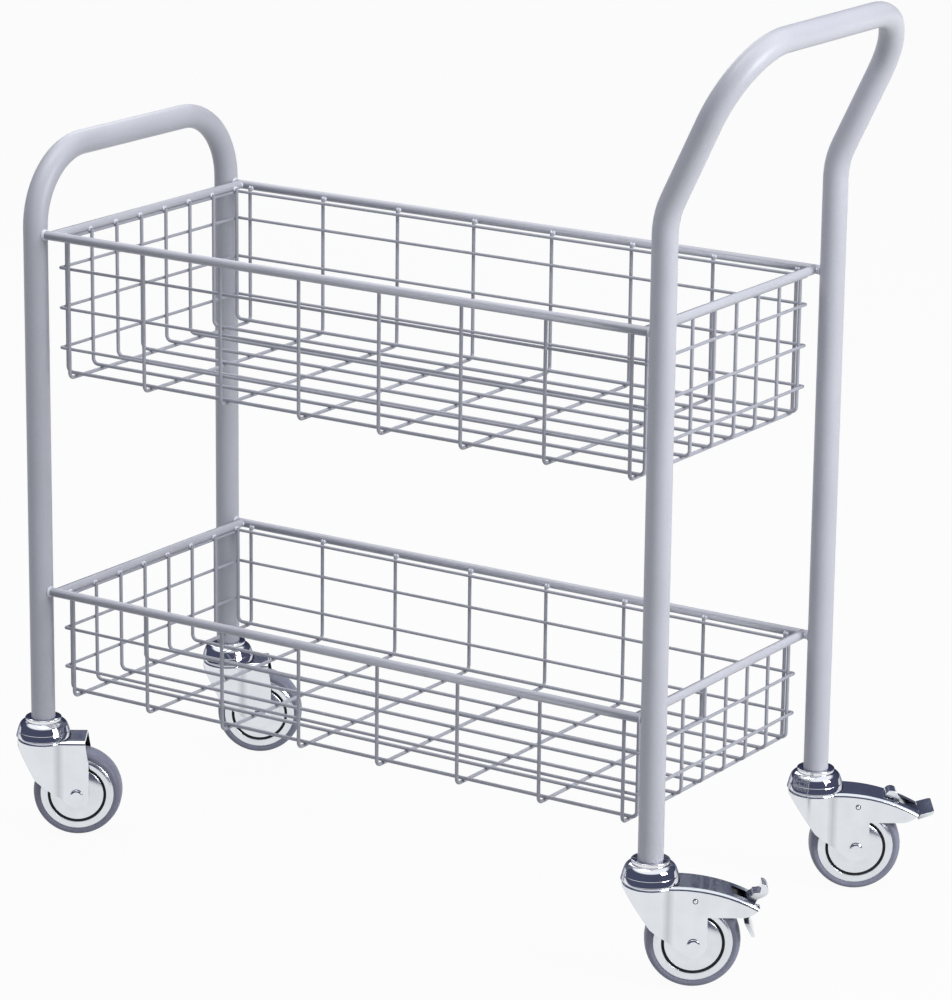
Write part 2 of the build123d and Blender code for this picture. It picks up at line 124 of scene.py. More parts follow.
class TrolleySizes(bpy.types.PropertyGroup):
    """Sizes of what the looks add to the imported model."""

    wire: FloatProperty(
        name="Wire", description="Diameter of the cross and long wires", unit="LENGTH", default=0.004)
    loop_wire: FloatProperty(
        name="Loop wire", description="Diameter of the wires round the basket walls", unit="LENGTH",
        default=0.0035)
    wire_bend: FloatProperty(
        name="Wire bend", description="Radius of the bends in the basket wires, on their middle line",
        unit="LENGTH", default=0.0065)
    loop_bend: FloatProperty(
        name="Loop bend", description="Radius of the loops' corners, on their middle line", unit="LENGTH",
        default=0.002)
    wire_count: IntProperty(
        name="Wires", description="Number of cross wires, and of long wires, in a basket", default=8)
    loop_pitch: FloatProperty(
        name="Loop pitch", description="Height between the loops on the basket walls", unit="LENGTH",
        default=0.045)
    weld: FloatProperty(
        name="Weld", description="Radius of a weld lump at the top of a wire", unit="LENGTH", default=0.0019)
    weld_bead: FloatProperty(
        name="Weld bead", description="Width of the weld round the end of a long rail", unit="LENGTH",
        default=0.0034)
    sheet_edge: FloatProperty(
        name="Sheet edge", description="Rounding of the sheet edges on forks and pedals", unit="LENGTH",
        default=0.0004)
    pad_corner: FloatProperty(
        name="Pad corner", description="Rounding of the outer corners of the pedals' pads", unit="LENGTH",
        default=0.004)


class TrolleyStage(bpy.types.PropertyGroup):
    """Floor, light and camera."""

    floor: FloatVectorProperty(
        name="Floor", description="Colour of the studio floor", subtype="COLOR", min=0, max=1,
        default=(0.42, 0.42, 0.42))
    white: FloatProperty(
        name="White", description="Share of plain white that the camera sees in the floor", min=0, max=1,
        default=0.95)
    walls: FloatVectorProperty(
        name="Walls", description="Dim studio round the trolley", subtype="COLOR", min=0, max=1,
        default=(0.075, 0.083, 0.14))
    ceiling: FloatVectorProperty(
        name="Ceiling", description="Pale ceiling above it", subtype="COLOR", min=0, max=2,
        default=(1.1, 1.12, 1.15))
    eye: FloatVectorProperty(
        name="Eye", description="Where the camera stands", subtype="TRANSLATION", unit="LENGTH",
        default=(2.5618, -3.8218, 1.7095))
    aim: FloatVectorProperty(
        name="Aim", description="The point that the camera looks at", subtype="TRANSLATION", unit="LENGTH",
        default=(0.0458, 0.0299, 0.4162))
    roll: FloatProperty(
        name="Roll", description="Turn of the camera about its own line of sight", subtype="ANGLE",
        default=math.radians(0.662))
    lens: FloatProperty(name="Lens", description="Focal length on a 36 mm sensor, in mm", default=157.08)
    key: FloatProperty(name="Key", description="Power of the softbox at the handle end, in watts", default=62)
    front: FloatProperty(
        name="Front", description="Power of the softbox behind the camera, in watts", default=28)
    top: FloatProperty(name="Top", description="Power of the softbox overhead, in watts", default=14)
    back: FloatProperty(
        name="Back", description="Power of the softbox behind the front legs, in watts", default=20)


def node_group(name, inputs, outputs):
    """An empty shader group with its named sockets."""
    group = bpy.data.node_groups.new(name, "ShaderNodeTree")
    for label, kind, value in inputs:
        socket = group.interface.new_socket(label, in_out="INPUT", socket_type=kind)
        socket.default_value = value
    for label, kind in outputs:
        group.interface.new_socket(label, in_out="OUTPUT", socket_type=kind)
    return group, group.nodes.new("NodeGroupInput"), group.nodes.new("NodeGroupOutput")


def speckle_group():
    """Soft noise on a surface, as a mask from 0 to 1 with its own contrast."""
    group, given, result = node_group(
        "Speckle",
        [("Place", "NodeSocketVector", (0, 0, 0)), ("Scale", "NodeSocketFloat", 50.0),
         ("Detail", "NodeSocketFloat", 3.0), ("Low", "NodeSocketFloat", 0.3),
         ("High", "NodeSocketFloat", 0.7)],
        [("Mask", "NodeSocketFloat")])
    noise = group.nodes.new("ShaderNodeTexNoise")
    spread = group.nodes.new("ShaderNodeMapRange")
    group.links.new(given.outputs["Place"], noise.inputs["Vector"])
    group.links.new(given.outputs["Scale"], noise.inputs["Scale"])
    group.links.new(given.outputs["Detail"], noise.inputs["Detail"])
    group.links.new(noise.outputs["Fac"], spread.inputs["Value"])
    group.links.new(given.outputs["Low"], spread.inputs["From Min"])
    group.links.new(given.outputs["High"], spread.inputs["From Max"])
    group.links.new(spread.outputs["Result"], result.inputs["Mask"])
    return group


def turning_group():
    """Fine rings left by turning or pressing, from a piece's radius attribute."""
    group, given, result = node_group(
        "Turning Rings",
        [("Radius", "NodeSocketFloat", 0.0), ("Rings per Metre", "NodeSocketFloat", 900.0)],
        [("Mask", "NodeSocketFloat")])
    pace = group.nodes.new("ShaderNodeMath")
    pace.operation = "MULTIPLY"
    rings = group.nodes.new("ShaderNodeTexNoise")
    rings.noise_dimensions = "1D"
    rings.inputs["Scale"].default_value = 1.0
    rings.inputs["Detail"].default_value = 4.0
    group.links.new(given.outputs["Radius"], pace.inputs[0])
    group.links.new(given.outputs["Rings per Metre"], pace.inputs[1])
    group.links.new(pace.outputs[0], rings.inputs["W"])
    group.links.new(rings.outputs["Fac"], result.inputs["Mask"])
    return group


def use_group(tree, group, **values):
    """Place a shared group in a material with its own values."""
    node = tree.nodes.new("ShaderNodeGroup")
    node.node_tree = group
    for label, value in values.items():
        node.inputs[label.replace("_", " ")].default_value = value
    return node


def ranged(tree, mask, low, high):
    """Spread a mask between two values."""
    node = tree.nodes.new("ShaderNodeMapRange")
    node.inputs["To Min"].default_value = low
    node.inputs["To Max"].default_value = high
    tree.links.new(mask, node.inputs["Value"])
    return node.outputs["Result"]


def blended(tree, mask, first, second):
    """Mix two colours, each given as numbers or as a socket, by a mask."""
    node = tree.nodes.new("ShaderNodeMix")
    node.data_type = "RGBA"
    tree.links.new(mask, node.inputs["Factor"])
    for index, colour in ((MIX_A, first), (MIX_B, second)):
        if isinstance(colour, bpy.types.NodeSocket):
            tree.links.new(colour, node.inputs[index])
        else:
            node.inputs[index].default_value = (*colour, 1)
    return node.outputs[MIX_RESULT]


def bumped(tree, height, depth, strength=1.0):
    """Feed a height to the shader as a bump."""
    node = tree.nodes.new("ShaderNodeBump")
    node.inputs["Strength"].default_value = strength
    node.inputs["Distance"].default_value = depth
    tree.links.new(height, node.inputs["Height"])
    tree.links.new(node.outputs["Normal"], tree.nodes["Principled BSDF"].inputs["Normal"])


def painted_on(tree, name):
    """A value that a piece carries on its faces or vertices."""
    node = tree.nodes.new("ShaderNodeAttribute")
    node.attribute_name = name
    return node.outputs["Fac"]


def shade(colour, factor):
    """A colour made darker or lighter."""
    return [min(1.0, part * factor) for part in colour]


def new_finish(name, metallic):
    """An empty material: its tree, shader and object coordinates."""
    material = bpy.data.materials.new(name)
    material.use_nodes = True
    tree = material.node_tree
    shader = tree.nodes["Principled BSDF"]
    shader.inputs["Metallic"].default_value = metallic
    place = tree.nodes.new("ShaderNodeTexCoord").outputs["Object"]
    return material, tree, shader, place


def paint_finish(name, colour, rough):
    """Silver-grey powder coat: fine metal flake, cloudy tone and a slight orange peel."""
    material, tree, shader, place = new_finish(name, 0.0)
    cloud = use_group(tree, finish["speckle"], Scale=14.0, Detail=2.0)
    flake = use_group(tree, finish["speckle"], Scale=1600.0, Detail=0.0, Low=0.45, High=0.75)
    peel = use_group(tree, finish["speckle"], Scale=420.0, Detail=1.0, Low=0.2, High=0.8)
    for node in (cloud, flake, peel):
        tree.links.new(place, node.inputs["Place"])
    tone = blended(tree, cloud.outputs["Mask"], shade(colour, 0.96), shade(colour, 1.03))
    tone = blended(tree, flake.outputs["Mask"], tone, shade(colour, 1.12))
    tree.links.new(tone, shader.inputs["Base Color"])
    tree.links.new(ranged(tree, cloud.outputs["Mask"], *rough), shader.inputs["Roughness"])
    bumped(tree, peel.outputs["Mask"], depth=0.00006, strength=0.5)
    return material


def plated_finish(name, colour, rough, cloud_scale, grain, rim=(1, 1, 1)):
    """Plated metal: cloudy tone, patchy gloss, a fine grain, painted shade and a tinted rim, which on the
    chrome is a painted dark reflection.
    """
    material, tree, shader, place = new_finish(name, 1.0)
    cloud = use_group(tree, finish["speckle"], Scale=cloud_scale, Detail=4.0)
    speck = use_group(tree, finish["speckle"], Scale=900.0, Detail=2.0, Low=0.25, High=0.75)
    for node in (cloud, speck):
        tree.links.new(place, node.inputs["Place"])
    tone = blended(tree, cloud.outputs["Mask"], shade(colour, 0.95), shade(colour, 1.03))
    # Painted shade: where a piece carries the value, the plate darkens to a tenth of its colour
    tone = blended(tree, painted_on(tree, "painted_shade"), tone, shade(colour, 0.10))
    tree.links.new(tone, shader.inputs["Base Color"])
    tree.links.new(ranged(tree, cloud.outputs["Mask"], *rough), shader.inputs["Roughness"])
    bumped(tree, speck.outputs["Mask"], depth=grain)
    # The rim tint, where not white, is a painted dark reflection at grazing angles
    shader.inputs["Specular Tint"].default_value = (*rim, 1)
    return material


def turned_finish(name, colour, rough, depth):
    """Plated metal with the fine rings of a turned or pressed wheel part."""
    material, tree, shader, place = new_finish(name, 1.0)
    cloud = use_group(tree, finish["speckle"], Scale=70.0, Detail=3.0)
    tree.links.new(place, cloud.inputs["Place"])
    rings = use_group(tree, finish["turning"], Rings_per_Metre=1500.0)
    tree.links.new(painted_on(tree, "radius"), rings.inputs["Radius"])
    tone = blended(tree, cloud.outputs["Mask"], shade(colour, 0.94), shade(colour, 1.03))
    tone = blended(tree, ranged(tree, rings.outputs["Mask"], 0.0, 0.35), tone, shade(colour, 0.82))
    tree.links.new(tone, shader.inputs["Base Color"])
    tree.links.new(ranged(tree, rings.outputs["Mask"], *rough), shader.inputs["Roughness"])
    bumped(tree, rings.outputs["Mask"], depth)
    return material


def rubber_finish(name, colour, rough):
    """Grey rubber with a scuffed, slightly paler tread."""
    material, tree, shader, place = new_finish(name, 0.0)
    cloud = use_group(tree, finish["speckle"], Scale=55.0, Detail=5.0)
    grain = use_group(tree, finish["speckle"], Scale=1300.0, Detail=2.0, Low=0.2, High=0.8)
    for node in (cloud, grain):
        tree.links.new(place, node.inputs["Place"])
    tone = blended(tree, cloud.outputs["Mask"], shade(colour, 0.92), shade(colour, 1.08))
    tone = blended(tree, ranged(tree, painted_on(tree, "tread"), 0.0, 0.6), tone, shade(colour, 1.25))
    tree.links.new(tone, shader.inputs["Base Color"])
    tree.links.new(ranged(tree, cloud.outputs["Mask"], *rough), shader.inputs["Roughness"])
    bumped(tree, grain.outputs["Mask"], depth=0.00005, strength=0.6)
    return material


def dark_finish(name, colour, rough):
    """Near-black painted shade at the bottom of a groove and round a rivet, with random lighter patches."""
    material, tree, shader, place = new_finish(name, 0.0)
    dust = use_group(tree, finish["speckle"], Scale=240.0, Detail=4.0)
    tree.links.new(place, dust.inputs["Place"])
    tone = blended(tree, dust.outputs["Mask"], colour, shade(colour, 2.0))
    tree.links.new(tone, shader.inputs["Base Color"])
    tree.links.new(ranged(tree, dust.outputs["Mask"], *rough), shader.inputs["Roughness"])
    return material


def merged_copy(node):
    """A bmesh copy of a CAD node, with its loose triangles joined into a skin."""
    bm = bmesh.new()
    bm.from_mesh(frame["nodes"][node].data)
    bmesh.ops.remove_doubles(bm, verts=bm.verts, dist=JOIN)
    return bm


def plain_copy(node):
    """A merged copy whose flat faces are whole, ready for its edges to be eased."""
    bm = merged_copy(node)
    bmesh.ops.dissolve_limit(bm, angle_limit=math.radians(FLAT_ANGLE), verts=bm.verts, edges=bm.edges)
    return bm


def soften(bm, width, segments):
    """Round the sharp edges of a shape."""
    limit = math.radians(SHARP_ANGLE)
    sharp = [edge for edge in bm.edges if len(edge.link_faces) == 2 and edge.calc_face_angle() > limit]
    bmesh.ops.bevel(bm, geom=sharp, offset=width, offset_type="OFFSET", affect="EDGES", segments=segments,
                    profile=0.5, material=-1, clamp_overlap=True)


def piece_from(bm, name, body, material, nodes):
    """Make a bmesh a smooth piece that rides on a body and stands for CAD nodes."""
    mesh = bpy.data.meshes.new(name)
    bm.to_mesh(mesh)
    bm.free()
    mesh.shade_smooth()
    mesh.set_sharp_from_angle(angle=math.radians(SMOOTH_ANGLE))
    mesh.materials.append(finish[material])
    piece = bpy.data.objects.new(name, mesh)
    bpy.context.scene.collection.objects.link(piece)
    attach(piece, body)
    if nodes:
        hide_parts(*nodes)
    return piece


def flatten(piece):
    """Let the large faces of a pressed piece rule its shading, so that its eased edges don't cloud them."""
    piece.modifiers.new("flat_faces", "WEIGHTED_NORMAL").keep_sharp = True


def keep_node(node, material):
    """Give a CAD node that stays as it is one of the finishes."""
    mesh = frame["nodes"][node].data
    mesh.materials.clear()
    mesh.materials.append(finish[material])


def copies(shape, places):
    """One bmesh with a copy of a shape at each place."""
    mesh = bpy.data.meshes.new("shape")
    shape.to_mesh(mesh)
    shape.free()
    whole = bmesh.new()
    for place in places:
        known = set(whole.verts)
        whole.from_mesh(mesh)
        fresh = [vert for vert in whole.verts if vert not in known]
        bmesh.ops.transform(whole, matrix=place, verts=fresh)
    bpy.data.meshes.remove(mesh)
    return whole


def spun(outline, steps=96, closed=True):
    """A ring or disc turned about Z, from corners given as (radius, height) and, if round, their rounding."""
    bm = bmesh.new()
    verts = [bm.verts.new((corner[0], 0, corner[1])) for corner in outline]
    for pair in zip(verts, verts[1:]):
        bm.edges.new(pair)
    if closed:
        bm.edges.new((verts[-1], verts[0]))
    for vert, corner in zip(verts, outline):
        for rounding in corner[2:]:
            small = rounding < SMALL_ROUNDING
            bmesh.ops.bevel(bm, geom=[vert], offset=rounding, offset_type="OFFSET", affect="VERTICES",
                            segments=SMALL_ROUNDING_STEPS if small else LARGE_ROUNDING_STEPS,
                            profile=0.5, material=-1)
    bmesh.ops.spin(bm, geom=bm.verts[:] + bm.edges[:], cent=(0, 0, 0), axis=(0, 0, 1), angle=math.tau,
                   steps=steps, use_merge=True)
    bmesh.ops.remove_doubles(bm, verts=bm.verts, dist=JOIN)
    bmesh.ops.recalc_face_normals(bm, faces=bm.faces)
    layer = bm.verts.layers.float.new("radius")
    for vert in bm.verts:
        vert[layer] = math.hypot(vert.co.x, vert.co.y)
    return bm


def both_sides(half):
    """Half an outline, then the same mirrored in the wheel's mid-plane."""
    return half + [(radius, -height, *rounding) for radius, height, *rounding in reversed(half)]


def spaced(spread, count):
    """Places side by side, as far to one side of the middle as to the other."""
    return [-spread + 2 * spread * k / (count - 1) for k in range(count)]


def push(bm, face, offset):
    """Draw the end face of a rod straight on."""
    drawn = bmesh.ops.extrude_face_region(bm, geom=[face])["geom"]
    moved = [part for part in drawn if isinstance(part, bmesh.types.BMVert)]
    bmesh.ops.translate(bm, verts=moved, vec=offset)
    return next(part for part in drawn if isinstance(part, bmesh.types.BMFace))


def bent_rod(bm, points, diameter, bend, sides=14, closed=False):
    """Draw a round rod along a line of points, with a bend at each turn."""
    points = [Vector(point) for point in points]
    heading = (points[1] - points[0]).normalized()
    place = Matrix.Translation(points[0]) @ heading.to_track_quat("Z", "Y").to_matrix().to_4x4()
    disc = bmesh.ops.create_circle(bm, cap_ends=True, radius=diameter / 2, segments=sides, matrix=place)
    start = end = disc["verts"][0].link_faces[0]
    here = points[0]
    for before, corner, after in zip(points, points[1:], points[2:]):
        heading = (corner - before).normalized()
        onward = (after - corner).normalized()
        turn = heading.angle(onward)
        setback = bend * math.tan(turn / 2)
        bend_start = corner - heading * setback
        axis = heading.cross(onward).normalized()
        end = push(bm, end, bend_start - here)
        centre = bend_start + axis.cross(heading) * bend
        drawn = bmesh.ops.spin(bm, geom=[end], cent=centre, axis=axis, angle=turn, steps=BEND_STEPS)
        end = next(part for part in drawn["geom_last"] if isinstance(part, bmesh.types.BMFace))
        here = corner + onward * setback
    end = push(bm, end, points[-1] - here)
    if closed:
        bmesh.ops.delete(bm, geom=[start, end], context="FACES_ONLY")


class TROLLEY_OT_finishes(bpy.types.Operator):
    """Mix the paint, plate and rubber that the pieces wear, and the near black of the painted shade in
    grooves
    """

    bl_idname = "trolley.finishes"
    bl_label = "Finishes"

    def execute(self, context):
        """Build the shared groups, then one material for each finish."""
        colours = context.scene.trolley_finish
        finish["speckle"] = speckle_group()
        finish["turning"] = turning_group()
        finish["paint"] = paint_finish("silver_paint", colours.paint, rough=(0.38, 0.44))
        # Painted shade: the wires wear a darker copy of the tube paint
        finish["wire"] = paint_finish("shaded_wire_paint", colours.wire, rough=(0.34, 0.40))
        # Painted highlight: the welds wear the tube paint made half again lighter, and glossier, so they show
        # as bright spots
        finish["weld"] = paint_finish("weld_highlight_paint", shade(colours.paint, 1.5), rough=(0.16, 0.24))
        finish["zinc"] = plated_finish(
            "zinc_plate", colours.zinc, rough=(0.14, 0.18), cloud_scale=45.0, grain=0.000003)
        # Painted reflection: the chrome's grazing reflections are tinted dark blue, standing in for dark
        # surroundings at the caps' edges
        finish["chrome"] = plated_finish(
            "polished_chrome", colours.chrome, rough=(0.03, 0.05), cloud_scale=30.0, grain=0.0,
            rim=(0.15, 0.16, 0.25))
        finish["turned"] = turned_finish("turned_zinc", colours.zinc, rough=(0.16, 0.26), depth=0.00001)
        finish["rubber"] = rubber_finish("grey_rubber", colours.rubber, rough=(0.42, 0.52))
        # Painted shade: near black for the groove round each dust cover and the ring round each rivet
        finish["shade_ring"] = dark_finish("painted_groove_shade", colours.shadow, rough=(0.7, 0.9))
        return {"FINISHED"}


class TROLLEY_OT_tubes(bpy.types.Operator):
    """Smooth the two hoops and the eight rails and paint them"""

    bl_idname = "trolley.tubes"
    bl_label = "Hoops and Rails"

    def execute(self, context):
        """Copy each tube and rail as one smooth skin."""
        for node in ("front_hoop", "handle_hoop"):
            piece_from(merged_copy(node), f"{node}_tube", "frame", "paint", [node])
        for level in LEVELS:
            for side in ("left", "right", "front", "rear"):
                node = f"{level}_{side}_rail"
                piece_from(merged_copy(node), f"{node}_bar", "frame", "paint", [node])
        return {"FINISHED"}


class TROLLEY_OT_baskets(bpy.types.Operator):
    """Bend the wires of the two baskets"""

    bl_idname = "trolley.baskets"
    bl_label = "Baskets"

    def execute(self, context):
        """Draw each group of wires where its CAD node is."""
        sizes = context.scene.trolley_sizes
        for level in LEVELS:
            self.hanging_wires(sizes, f"{level}_cross_wires", across=True)
            self.hanging_wires(sizes, f"{level}_long_wires", across=False)
            self.loops(sizes, f"{level}_loop_wires")
        return {"FINISHED"}

    def hanging_wires(self, sizes, node, across):
        """The wires bent to a U, side by side."""
        radius = sizes.wire / 2
        low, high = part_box(node)
        reach = (high.y if across else high.x) - radius
        spread = (high.x if across else high.y) - radius
        bottom = low.z + radius
        route = [(-reach, high.z), (-reach, bottom), (reach, bottom), (reach, high.z)]
        bm = bmesh.new()
        for beside in spaced(spread, sizes.wire_count):
            points = [(beside, along, z) if across else (along, beside, z) for along, z in route]
            bent_rod(bm, points, sizes.wire, sizes.wire_bend)
        bmesh.ops.recalc_face_normals(bm, faces=bm.faces)
        piece_from(bm, f"{node}_bent", "frame", "wire", [node])

    def loops(self, sizes, node):
        """The closed rectangles round the walls."""
        radius = sizes.loop_wire / 2
        low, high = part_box(node)
        x, y = high.x - radius, high.y - radius
        count = 1 + int((high.z - low.z - sizes.loop_wire) / sizes.loop_pitch)
        heights = [low.z + radius + k * sizes.loop_pitch for k in range(count)] + [high.z - radius]
        bm = bmesh.new()
        for z in heights:
            route = [(0, -y, z), (x, -y, z), (x, y, z), (-x, y, z), (-x, -y, z), (0, -y, z)]
            bent_rod(bm, route, sizes.loop_wire, sizes.loop_bend, sides=12, closed=True)
        bmesh.ops.remove_doubles(bm, verts=bm.verts, dist=JOIN)
        bmesh.ops.recalc_face_normals(bm, faces=bm.faces)
        piece_from(bm, f"{node}_bent", "frame", "wire", [node])


class TROLLEY_OT_welds(bpy.types.Operator):
    """Lay the welds that hold the rails and wires"""

    bl_idname = "trolley.welds"
    bl_label = "Welds"

    # How far a bead is sunk in its rail, and how far its foot and its shoulder stand out
    SINK, FOOT, SHOULDER = 0.0005, 0.0017, 0.0012
    # A lump's drop below the rail's middle line, its place in wire radii beside the wire, and its stretch
    DROP, BESIDE, STRETCH = 0.002, 0.8, 1.5

    def execute(self, context):
        """Beads round the ends of the long rails, lumps where the wires and end rails meet the rails."""
        sizes = context.scene.trolley_sizes
        for level in LEVELS:
            self.beads(sizes, level)
            self.lumps(sizes, level)
        return {"FINISHED"}

    def beads(self, sizes, level):
        """A tapered bead at each end of the two long rails."""
        places = []
        for side in ("left", "right"):
            low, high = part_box(f"{level}_{side}_rail")
            middle = (low + high) / 2
            radius = (high.z - low.z) / 2
            for end, x in ((-1, low.x), (1, high.x)):
                turn = Matrix.Rotation(-end * math.pi / 2, 4, "Y")
                places.append(Matrix.Translation((x, middle.y, middle.z)) @ turn)
        bead = spun([
            (radius - self.SINK, 0.0), (radius + self.FOOT, 0.0, 0.0007),
            (radius + self.SHOULDER, sizes.weld_bead / 2, 0.0008), (radius - self.SINK, sizes.weld_bead),
        ], steps=32)
        piece_from(copies(bead, places), f"{level}_rail_beads", "frame", "weld", [])

    def lumps(self, sizes, level):
        """A small lump where each wire hangs on its rail, and beside the ends of the end rails."""
        rail_low, rail_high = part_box(f"{level}_right_rail")
        end_low, end_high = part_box(f"{level}_rear_rail")
        height = (rail_low.z + rail_high.z) / 2
        wire_height = height - self.DROP
        spots = []
        for kind, across, face in (("cross", True, rail_low.y), ("long", False, end_low.x)):
            low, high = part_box(f"{level}_{kind}_wires")
            spread = (high.x if across else high.y) - sizes.wire / 2
            for beside in spaced(spread, sizes.wire_count):
                for reach in (-face, face):
                    for shift in (-self.BESIDE, self.BESIDE):
                        spot = beside + shift * sizes.wire / 2
                        spots.append((spot, reach, wire_height) if across else (reach, spot, wire_height))
        for x in (end_low.x, end_high.x):
            for end in (-1, 1):
                for y in (-rail_low.y, rail_low.y):
                    spots.append((end * x, y, height))
        tall = Matrix.Diagonal((1, 1, self.STRETCH, 1))
        bm = bmesh.new()
        for spot in spots:
            bmesh.ops.create_icosphere(bm, subdivisions=2, radius=sizes.weld,
                                       matrix=Matrix.Translation(spot) @ tall)
        piece_from(bm, f"{level}_weld_lumps", "frame", "weld", [])


class TROLLEY_OT_castor_tops(bpy.types.Operator):
    """Turn the chrome caps and finish what they hide"""

    bl_idname = "trolley.castor_tops"
    bl_label = "Castor Caps"

    def execute(self, context):
        """Spin one cap and set it under each leg."""
        low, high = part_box("castor_caps")
        lip = high.x - LEG.x
        top, bottom = high.z, low.z
        cap = spun([
            (0.0062, top - 0.0030), (0.0062, top), (0.0205, top, 0.0008), (0.0205, top - 0.0036),
            (0.0255, top - 0.0042, 0.0058), (0.0291, bottom + 0.0077), (0.0293, bottom + 0.0071),
            (0.0291, bottom + 0.0066), (lip - 0.0018, bottom + 0.0064, 0.0003),
            (lip - 0.0015, bottom + 0.0056), (lip - 0.0003, bottom + 0.0014),
            (lip - 0.0001, bottom + 0.0005), (lip - 0.0004, bottom), (0.0280, bottom),
            (0.0280, top - 0.0150), (0.0190, top - 0.0048), (0.0190, top - 0.0030),
        ])
        places = [Matrix.Translation((x, y, 0)) for x in (-LEG.x, LEG.x) for y in (-LEG.y, LEG.y)]
        piece_from(copies(cap, places), "castor_caps_turned", "frame", "chrome", ["castor_caps"])
        for node in ("leg_inserts", "castor_stems", "swivel_bearings"):
            keep_node(node, "zinc")
        return {"FINISHED"}


class TROLLEY_OT_forks(bpy.types.Operator):
    """Round the pressed edges of the four forks and plate them"""

    bl_idname = "trolley.forks"
    bl_label = "Forks"

    # Half the channel's inner width, and where the crease lies behind the stem and how far its shade reaches
    INNER, CREASE, CREASE_REACH = 0.0216, 0.0180, 0.0065
    CREASE_CUTS = 13
    # Strength of the painted shade along the crease
    CREASE_SHADE = 0.3
    # Parts of a face's unit normal: past these a face looks down, looks that way, or stands upright
    DOWN, FACING, UPRIGHT = -0.7, 0.5, 0.2

    def execute(self, context):
        """Copy each fork as one skin with its sheet edges eased."""
        edge = context.scene.trolley_sizes.sheet_edge
        for corner in CORNERS:
            node = f"{corner}_fork"
            bm = plain_copy(node)
            soften(bm, edge, segments=2)
            stem, _ = joint_axis(f"{corner}_swivel")
            axle, _ = joint_axis(f"{corner}_roll")
            along = (axle - stem).to_2d().normalized()
            # Painted shade inside the channel and along the crease
            self.painted_shade(bm, stem.to_2d(), along)
            flatten(piece_from(bm, f"{node}_pressed", f"{corner}_castor", "zinc", [node]))
        return {"FINISHED"}

    def painted_shade(self, bm, stem, along):
        """Paint shade on the inside of the channel, and a little along the crease where the round head meets
        the cheeks.
        """
        side = along.orthogonal()
        for shift in spaced(1, self.CREASE_CUTS):
            cut = stem + along * (self.CREASE + self.CREASE_REACH * shift)
            bmesh.ops.bisect_plane(bm, geom=bm.verts[:] + bm.edges[:] + bm.faces[:], dist=JOIN,
                                   plane_co=cut.to_3d(), plane_no=along.to_3d())
        layer = bm.faces.layers.float.new("painted_shade")
        for face in bm.faces:
            spot = face.calc_center_median()
            place = spot.to_2d() - stem
            facing = face.normal.to_2d()
            ahead, beside = place.dot(along), place.dot(side)
            if face.normal.z < self.DOWN:
                face[layer] = 1.0 if abs(beside) < self.INNER else 0.0
            elif ahead < 0:
                face[layer] = 1.0 if facing.dot(place.normalized()) < -self.FACING else 0.0
            elif facing.dot(side) * beside < 0 and abs(facing.dot(side)) > self.FACING:
                face[layer] = 1.0
            elif abs(face.normal.z) < self.UPRIGHT:
                nearness = max(0.0, 1.0 - abs(ahead - self.CREASE) / self.CREASE_REACH)
                face[layer] = self.CREASE_SHADE * nearness


class TROLLEY_OT_wheels(bpy.types.Operator):
    """Turn the tyres, rims, dust covers and axles of the four wheels"""

    bl_idname = "trolley.wheels"
    bl_label = "Wheels"

    # Half the width of the worn tread, and the width over which it starts
    TREAD, TREAD_EDGE = 0.0120, 0.0030

    def execute(self, context):
        """Spin each wheel part about its own axle."""
        for corner in CORNERS:
            place = joint_place(f"{corner}_roll")
            self.tyre(corner, place)
            self.rim(corner, place)
            self.covers(corner, place)
            self.axle(corner, place)
            keep_node(f"{corner}_hub_bearing", "zinc")
        return {"FINISHED"}

    def tyre(self, corner, place):
        """A rounded tread on a tyre that grips the rim's edge."""
        half = [(0.04155, 0.0150), (0.0450, 0.0160, 0.0012), (0.0485, 0.0138, 0.0016),
                (0.0500, 0.0062, 0.0030)]
        bm = spun(both_sides(half), steps=WHEEL_STEPS)
        layer = bm.verts.layers.float.new("tread")
        for vert in bm.verts:
            vert[layer] = max(0.0, min(1.0, (self.TREAD - abs(vert.co.z)) / self.TREAD_EDGE))
        bm.transform(place)
        piece_from(bm, f"{corner}_tyre_rubber", f"{corner}_wheel", "rubber", [f"{corner}_tyre"])

    def rim(self, corner, place):
        """A turned rim, with a near-black ring of painted shade at the bottom of its groove."""
        half = [(0.01205, 0.0148), (0.0330, 0.0148), (0.0330, 0.0170, 0.0004), (0.0380, 0.0170, 0.0010),
                (0.0415, 0.0150, 0.0004)]
        bm = spun(both_sides(half), steps=WHEEL_STEPS)
        bm.transform(place)
        piece_from(bm, f"{corner}_rim_turned", f"{corner}_wheel", "turned", [f"{corner}_rim"])
        # A near-black ring of painted shade at the bottom of the groove, on both sides
        ring = spun([(0.0270, 0.01482), (0.03298, 0.01482), (0.03298, 0.0162), (0.0310, 0.0150),
                     (0.0270, 0.0150)])
        shade_ring = copies(ring, [place, place @ OTHER_SIDE])
        piece_from(shade_ring, f"{corner}_painted_groove_shade", f"{corner}_wheel", "shade_ring", [])

    def covers(self, corner, place):
        """The two domed dust covers, each with a rolled edge."""
        cover = spun([(0.00605, 0.0189), (0.00605, 0.0204), (0.0232, 0.0204, 0.0066),
                      (0.0302, 0.0168, 0.0007), (0.0302, 0.0153), (0.0130, 0.0189)], steps=WHEEL_STEPS)
        piece_from(copies(cover, [place, place @ OTHER_SIDE]), f"{corner}_covers_pressed", f"{corner}_castor",
                   "turned", [f"{corner}_dust_covers"])

    def axle(self, corner, place):
        """An axle with a flat, chamfered head on each side."""
        half = [(0.0, 0.0270), (0.0054, 0.0269, 0.0003), (0.0073, 0.0260, 0.0004), (0.0073, 0.0240),
                (0.0045, 0.0240), (0.0045, 0.0214), (0.0060, 0.0214)]
        bm = spun(both_sides(half), steps=64, closed=False)
        bm.transform(place)
        piece_from(bm, f"{corner}_axle_turned", f"{corner}_castor", "zinc", [f"{corner}_axle"])


